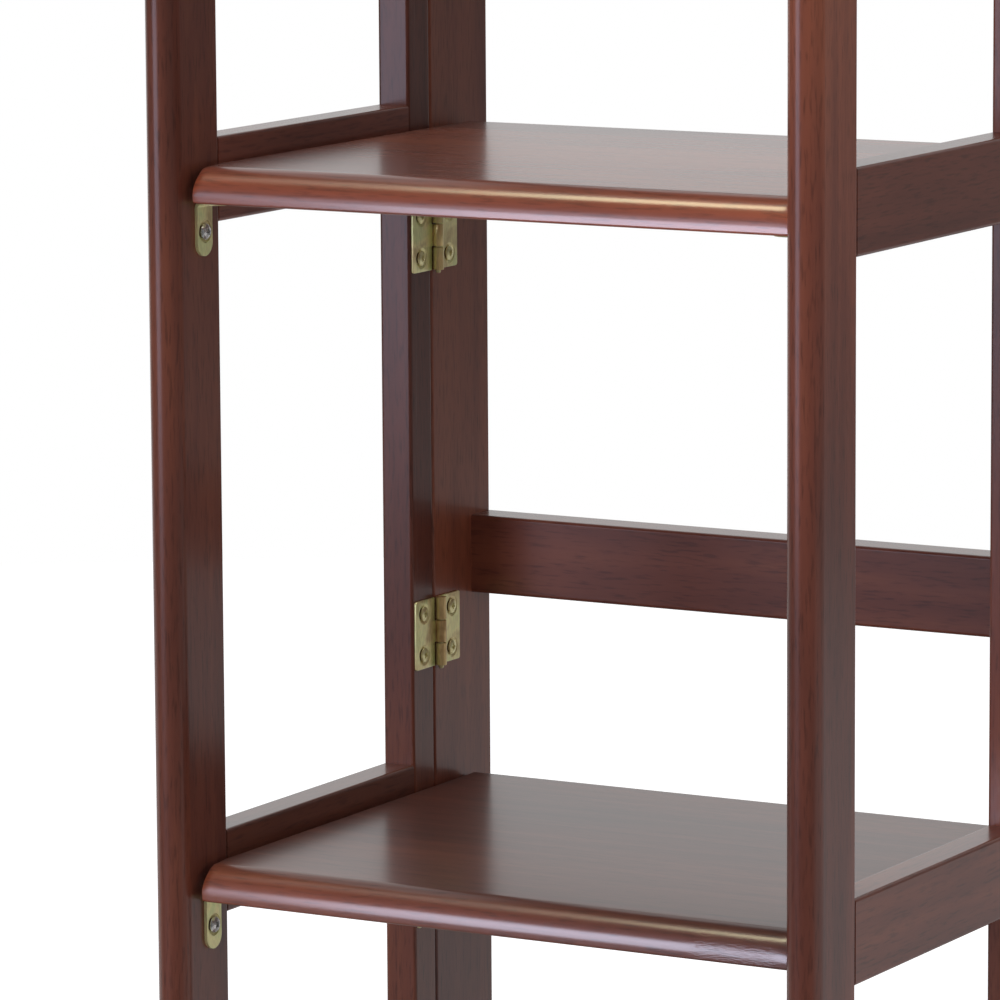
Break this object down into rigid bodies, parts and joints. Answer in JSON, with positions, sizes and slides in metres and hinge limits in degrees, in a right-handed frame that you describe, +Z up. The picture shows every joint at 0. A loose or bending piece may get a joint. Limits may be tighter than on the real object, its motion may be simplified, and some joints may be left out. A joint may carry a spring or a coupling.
{
  "type": "folding bookstand rack",
  "caption": "Tall narrow folding wooden rack: ladder sides hinged to a back frame, with flip-up shelves on rear pins and small angle brackets.",
  "frame": {"origin": "on the floor, at the centre of the plan", "axes": "+Z up, front towards -Y, +X to the right seen from the front"},
  "size_m": [0.323, 0.2734, 1.07],
  "materials": {
    "frame_wood": "glossy dark walnut lacquer",
    "shelf_wood": "glossy dark walnut lacquer, grain across the width",
    "dowel_wood": "bare birch",
    "yellow_zinc": "yellow-passivated zinc plate, satin",
    "brass_screws": "yellow-passivated zinc plate, bright",
    "zinc_screws": "bright zinc plate",
    "steel": "plain",
    "nylon": "matte"
  },
  "bodies": {
    "back_frame": {"left_back_stile": "frame_wood", "right_back_stile": "frame_wood", "lower_back_rail": "frame_wood", "middle_back_rail": "frame_wood", "upper_back_rail": "frame_wood", "back_dowels": "dowel_wood", "left_back_leaves": "yellow_zinc", "right_back_leaves": "yellow_zinc", "left_hinge_pins": "yellow_zinc", "right_hinge_pins": "yellow_zinc", "left_back_leaf_screws": "brass_screws", "right_back_leaf_screws": "brass_screws", "left_pivot_pins": "steel", "right_pivot_pins": "steel", "left_pivot_spacers": "nylon", "right_pivot_spacers": "nylon"},
    "left_side": {"left_front_stile": "frame_wood", "left_rear_stile": "frame_wood", "left_rail_1": "frame_wood", "left_rail_2": "frame_wood", "left_rail_3": "frame_wood", "left_rail_4": "frame_wood", "left_side_dowels": "dowel_wood", "left_side_leaves": "yellow_zinc", "left_side_leaf_screws": "brass_screws", "left_bracket_1": "yellow_zinc", "left_bracket_2": "yellow_zinc", "left_bracket_3": "yellow_zinc", "left_bracket_4": "yellow_zinc", "left_bracket_screws": "zinc_screws"},
    "right_side": {"right_front_stile": "frame_wood", "right_rear_stile": "frame_wood", "right_rail_1": "frame_wood", "right_rail_2": "frame_wood", "right_rail_3": "frame_wood", "right_rail_4": "frame_wood", "right_side_dowels": "dowel_wood", "right_side_leaves": "yellow_zinc", "right_side_leaf_screws": "brass_screws", "right_bracket_1": "yellow_zinc", "right_bracket_2": "yellow_zinc", "right_bracket_3": "yellow_zinc", "right_bracket_4": "yellow_zinc", "right_bracket_screws": "zinc_screws"},
    "shelf_1": {"shelf_1": "shelf_wood"},
    "shelf_2": {"shelf_2": "shelf_wood"},
    "shelf_3": {"shelf_3": "shelf_wood"},
    "shelf_4": {"shelf_4": "shelf_wood"}
  },
  "joints": [
    {"name": "left_side_fold", "type": "hinge", "parent": "back_frame", "child": "left_side", "pos_m": [-0.1429, 0.08555, 0.5], "axis": [0, 0, 1], "range_deg": [0, 1.1]},
    {"name": "right_side_fold", "type": "hinge", "parent": "back_frame", "child": "right_side", "pos_m": [0.1429, 0.10255, 0.5], "axis": [0, 0, -1], "range_deg": [0, 0.1]},
    {"name": "shelf_1_flip", "type": "hinge", "parent": "back_frame", "child": "shelf_1", "pos_m": [0, 0.11035, 0.1115], "axis": [-1, 0, 0], "range_deg": [0, 90]},
    {"name": "shelf_2_flip", "type": "hinge", "parent": "back_frame", "child": "shelf_2", "pos_m": [0, 0.11035, 0.4165], "axis": [-1, 0, 0], "range_deg": [0, 90]},
    {"name": "shelf_3_flip", "type": "hinge", "parent": "back_frame", "child": "shelf_3", "pos_m": [0, 0.11035, 0.7215], "axis": [-1, 0, 0], "range_deg": [0, 90]},
    {"name": "shelf_4_flip", "type": "hinge", "parent": "back_frame", "child": "shelf_4", "pos_m": [0, 0.11035, 1.0265], "axis": [-1, 0, 0], "range_deg": [0, 90]}
  ]
}
